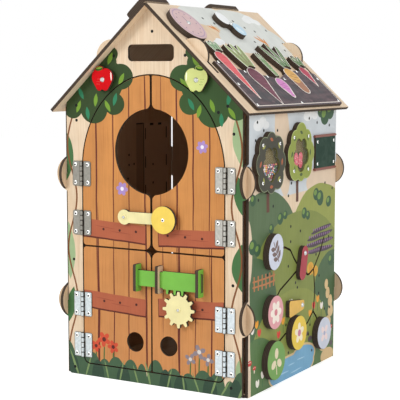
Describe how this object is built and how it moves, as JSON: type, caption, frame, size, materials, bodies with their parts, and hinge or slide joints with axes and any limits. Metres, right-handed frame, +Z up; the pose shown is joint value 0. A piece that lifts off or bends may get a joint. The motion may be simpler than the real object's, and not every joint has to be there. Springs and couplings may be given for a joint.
{
  "type": "busy house",
  "caption": "Plywood activity house for toddlers: a gabled box with latched doors, a toothed bolt, discs sliding in wall slots and lift-out roof vegetables.",
  "frame": {"origin": "centre of the footprint, on the surface that the house stands on", "axes": "+Z up, the doors face -Y, the wall with the slot maze faces +X"},
  "size_m": [0.4118, 0.416, 0.6892],
  "materials": {
    "plywood": "laser-cut birch plywood with printed faces",
    "door_print": "plywood printed as brown planks, satin",
    "zinc": "zinc-plated steel",
    "cream_paint": "painted plywood, satin",
    "yellow_paint": "painted plywood, satin",
    "lime_paint": "painted plywood, satin",
    "red_paint": "painted plywood, satin",
    "apple_green_paint": "painted plywood, satin",
    "dark_leaf_paint": "printed plywood, satin",
    "light_leaf_paint": "printed plywood, satin",
    "acrylic": "clear acrylic sheet",
    "beads": "moulded beads",
    "pink_paint": "painted plywood, satin",
    "chalk_paint": "matt chalkboard paint",
    "white_paint": "painted plywood, satin",
    "soil_paint": "printed plywood, satin",
    "carrot_paint": "printed plywood, satin",
    "beet_paint": "printed plywood, satin",
    "onion_paint": "printed plywood, satin",
    "turnip_paint": "printed plywood, satin",
    "leaf_green_paint": "painted plywood, satin"
  },
  "bodies": {
    "carcass": {"front_panel": "plywood", "back_panel": "plywood", "base_panel": "plywood", "left_wall": "plywood", "right_wall": "plywood", "left_roof": "plywood", "right_roof": "plywood", "left_roof_plaques": "plywood", "frame_hinge_leaves": "zinc", "hinge_pins": "zinc", "apple_pivots": "zinc", "tree_frame_dark": "dark_leaf_paint", "tree_pane_dark": "acrylic", "tree_beads": "beads", "tree_frame_light": "light_leaf_paint", "tree_pane_light": "acrylic", "tree_charm": "pink_paint", "chalkboard": "chalk_paint", "cover_pivots": "zinc", "soil_panel": "soil_paint", "roof_pivots": "zinc"},
    "upper_left_leaf": {"door_upper_left": "door_print", "door_upper_left_hinge_leaves": "zinc", "latch_pivot": "zinc"},
    "upper_right_leaf": {"door_upper_right": "door_print", "door_upper_right_hinge_leaves": "zinc"},
    "lower_left_leaf": {"door_lower_left": "door_print", "door_lower_left_hinge_leaves": "zinc", "bolt_keeper": "lime_paint"},
    "lower_right_leaf": {"door_lower_right": "door_print", "door_lower_right_hinge_leaves": "zinc", "bolt_guide_inner": "plywood", "bolt_guide_outer": "lime_paint", "pinion_axle": "zinc"},
    "latch": {"latch_bar": "cream_paint", "latch_knob": "yellow_paint"},
    "rack_bolt": {"bolt": "lime_paint"},
    "pinion": {"pinion": "cream_paint"},
    "red_apple": {"red_apple": "red_paint"},
    "green_apple": {"green_apple": "apple_green_paint"},
    "red_cover": {"red_cover": "red_paint"},
    "yellow_cover": {"yellow_cover": "yellow_paint"},
    "roof_dial": {"roof_dial": "pink_paint"},
    "roof_cloud": {"roof_cloud": "white_paint"},
    "oval_disc": {"oval_slider": "white_paint", "oval_slider_peg": "plywood"},
    "pink_disc": {"pink_slider": "pink_paint", "pink_slider_peg": "plywood"},
    "yellow_disc": {"yellow_slider": "yellow_paint", "yellow_slider_peg": "plywood"},
    "white_disc": {"white_slider": "white_paint", "white_slider_peg": "plywood"},
    "green_disc": {"green_slider": "leaf_green_paint", "green_slider_peg": "plywood"},
    "carrot": {"carrot": "carrot_paint"},
    "beet": {"beet": "beet_paint"},
    "onion": {"onion": "onion_paint"},
    "turnip": {"turnip": "turnip_paint"},
    "radish": {"radish": "carrot_paint"}
  },
  "joints": [
    {"name": "upper_left_door", "type": "hinge", "parent": "carcass", "child": "upper_left_leaf", "pos_m": [-0.15, -0.1918, 0.33], "axis": [0, 0, -1], "range_deg": [0, 110]},
    {"name": "upper_right_door", "type": "hinge", "parent": "carcass", "child": "upper_right_leaf", "pos_m": [0.15, -0.1918, 0.33], "axis": [0, 0, 1], "range_deg": [0, 110]},
    {"name": "lower_left_door", "type": "hinge", "parent": "carcass", "child": "lower_left_leaf", "pos_m": [-0.15, -0.1918, 0.096], "axis": [0, 0, -1], "range_deg": [0, 110]},
    {"name": "lower_right_door", "type": "hinge", "parent": "carcass", "child": "lower_right_leaf", "pos_m": [0.15, -0.1918, 0.096], "axis": [0, 0, 1], "range_deg": [0, 110]},
    {"name": "latch_turn", "type": "hinge", "parent": "upper_left_leaf", "child": "latch", "pos_m": [-0.054, -0.189, 0.30199], "axis": [0, -1, 0], "range_deg": [0, 95]},
    {"name": "bolt_slide", "type": "slide", "parent": "lower_right_leaf", "child": "rack_bolt", "axis": [1, 0, 0], "range_m": [-0.006, 0.025]},
    {"name": "pinion_turn", "type": "hinge", "parent": "lower_right_leaf", "child": "pinion", "pos_m": [0.06225, -0.194, 0.14507], "axis": [0, 1, 0], "range_deg": [-12.2, 49.2]},
    {"name": "red_apple_turn", "type": "hinge", "parent": "carcass", "child": "red_apple", "pos_m": [-0.09699, -0.189, 0.54692], "axis": [0, -1, 0], "continuous": true},
    {"name": "green_apple_turn", "type": "hinge", "parent": "carcass", "child": "green_apple", "pos_m": [0.09699, -0.189, 0.54692], "axis": [0, -1, 0], "continuous": true},
    {"name": "oval_slide", "type": "slide", "parent": "carcass", "child": "oval_disc", "axis": [0, 1, 0], "range_m": [0, 0.055]},
    {"name": "pink_slide", "type": "slide", "parent": "carcass", "child": "pink_disc", "axis": [0, 0.7763, 0.6304], "range_m": [0, 0.04]},
    {"name": "yellow_slide", "type": "slide", "parent": "carcass", "child": "yellow_disc", "axis": [0, 0.9958, 0.0921], "range_m": [0, 0.028]},
    {"name": "white_slide", "type": "slide", "parent": "carcass", "child": "white_disc", "axis": [0, -0.3127, 0.9499], "range_m": [0, 0.03]},
    {"name": "green_slide", "type": "slide", "parent": "carcass", "child": "green_disc", "axis": [0, 0.8079, 0.5893], "range_m": [0, 0.025]},
    {"name": "red_cover_swing", "type": "hinge", "parent": "carcass", "child": "red_cover", "pos_m": [0.191, 0.02787, 0.22686], "axis": [1, 0, 0], "range_deg": [-60, 90]},
    {"name": "yellow_cover_swing", "type": "hinge", "parent": "carcass", "child": "yellow_cover", "pos_m": [0.191, 0.01756, 0.13109], "axis": [-1, 0, 0], "range_deg": [0, 45]},
    {"name": "carrot_lift", "type": "slide", "parent": "carcass", "child": "carrot", "axis": [0.6807, 0, 0.7325], "range_m": [0, 0.04]},
    {"name": "beet_lift", "type": "slide", "parent": "carcass", "child": "beet", "axis": [0.6807, 0, 0.7325], "range_m": [0, 0.04]},
    {"name": "onion_lift", "type": "slide", "parent": "carcass", "child": "onion", "axis": [0.6807, 0, 0.7325], "range_m": [0, 0.04]},
    {"name": "turnip_lift", "type": "slide", "parent": "carcass", "child": "turnip", "axis": [0.6807, 0, 0.7325], "range_m": [0, 0.04]},
    {"name": "radish_lift", "type": "slide", "parent": "carcass", "child": "radish", "axis": [0.6807, 0, 0.7325], "range_m": [0, 0.04]},
    {"name": "roof_dial_spin", "type": "hinge", "parent": "carcass", "child": "roof_dial", "pos_m": [0.04872, -0.153, 0.63806], "axis": [0.6807, 0, 0.7325], "continuous": true},
    {"name": "roof_cloud_spin", "type": "hinge", "parent": "carcass", "child": "roof_cloud", "pos_m": [0.04398, 0.01, 0.64246], "axis": [0.6807, 0, 0.7325], "continuous": true}
  ],
  "couplings": [
    {"joint": "upper_right_door", "follows": "upper_left_door", "ratio": 1},
    {"joint": "pinion_turn", "follows": "bolt_slide", "rad_per_m": 34}
  ]
}
